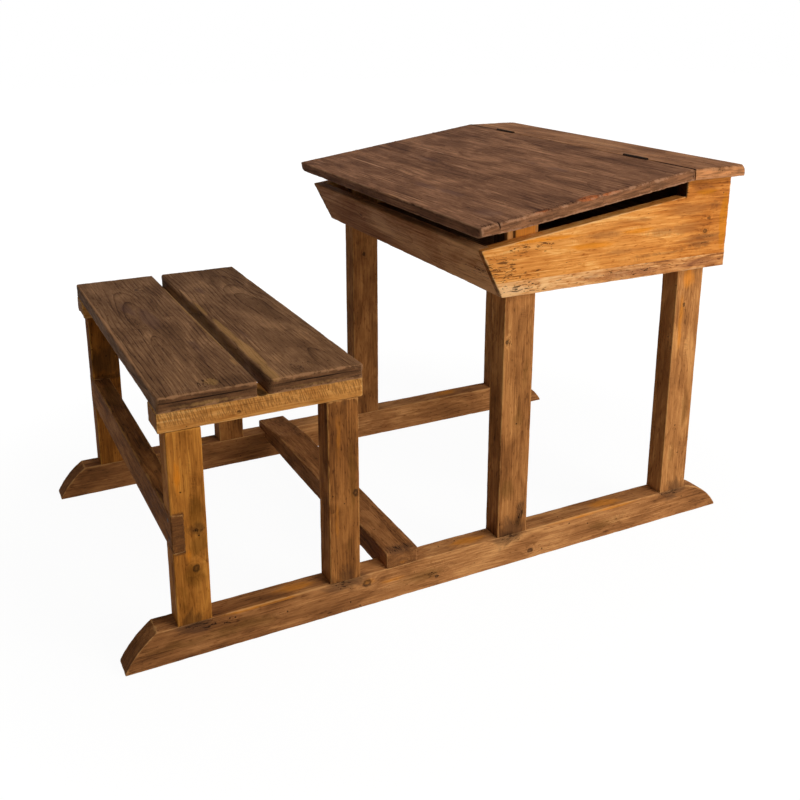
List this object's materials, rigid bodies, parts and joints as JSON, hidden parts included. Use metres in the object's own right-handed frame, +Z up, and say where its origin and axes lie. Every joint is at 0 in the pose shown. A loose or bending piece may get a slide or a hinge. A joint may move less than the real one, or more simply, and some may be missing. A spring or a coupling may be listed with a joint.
{
  "type": "school desk with lift lid",
  "caption": "School desk with a sloping lift lid over a storage box, joined by two long runners to a plank bench, with a footrest between.",
  "frame": {"origin": "on the floor, midway between the two runners and midway along them", "axes": "+Z up, +Y the way the pupil faces (bench towards desk), +X the pupil's right"},
  "size_m": [0.81, 1.254, 0.7534],
  "materials": {
    "frame_wood": "amber-brown stain, waxed, worn pale on the arrises",
    "panel_wood": "honey-amber stain, waxed, dark in the fissures",
    "strip_wood": "darker brown stain, waxed",
    "lid_wood": "dark chocolate stain, satin, worn lighter in streaks",
    "rail_wood": "dark chocolate stain, satin",
    "seat_wood": "dark chocolate stain, satin, fissured",
    "inner_wood": "plain, thinly stained, matte",
    "blackened_steel": "blackened, worn satin",
    "screw_steel": "dulled steel"
  },
  "bodies": {
    "desk": {"back_panel": "inner_wood", "back_panel_screws": "screw_steel", "bench_stretcher": "frame_wood", "bottom_board": "inner_wood", "bottom_screws": "screw_steel", "cleat_screws": "screw_steel", "footrest": "frame_wood", "footrest_screws": "screw_steel", "front_panel": "strip_wood", "front_panel_brads": "screw_steel", "front_seat_plank": "seat_wood", "hinge_rail": "rail_wood", "hinge_rail_screws": "screw_steel", "left_bench_bearer": "frame_wood", "left_bottom_cleat": "inner_wood", "left_front_bench_leg": "frame_wood", "left_front_desk_leg": "frame_wood", "left_hinge_pin": "blackened_steel", "left_hinge_rail_leaf": "blackened_steel", "left_rear_bench_leg": "frame_wood", "left_rear_desk_leg": "frame_wood", "left_runner": "frame_wood", "left_side_panel": "panel_wood", "left_side_strip": "strip_wood", "rail_dowels": "inner_wood", "rear_seat_plank": "seat_wood", "right_bench_bearer": "frame_wood", "right_bottom_cleat": "inner_wood", "right_front_bench_leg": "frame_wood", "right_front_desk_leg": "frame_wood", "right_hinge_pin": "blackened_steel", "right_hinge_rail_leaf": "blackened_steel", "right_rear_bench_leg": "frame_wood", "right_rear_desk_leg": "frame_wood", "right_runner": "frame_wood", "right_side_panel": "panel_wood", "right_side_strip": "strip_wood", "seat_screws": "screw_steel", "side_screws": "screw_steel", "stretcher_screws": "screw_steel"},
    "lid": {"batten_screws": "screw_steel", "hinge_lid_screws": "screw_steel", "left_hinge_lid_leaf": "blackened_steel", "left_lid_batten": "inner_wood", "lid_board_1": "lid_wood", "lid_board_2": "lid_wood", "lid_board_3": "lid_wood", "lid_board_4": "lid_wood", "lid_board_5": "lid_wood", "right_hinge_lid_leaf": "blackened_steel", "right_lid_batten": "inner_wood"}
  },
  "joints": [
    {"name": "lid_hinge", "type": "hinge", "parent": "desk", "child": "lid", "pos_m": [0, 0.4415, 0.75], "axis": [-1, 0, 0], "range_deg": [0, 110]}
  ]
}
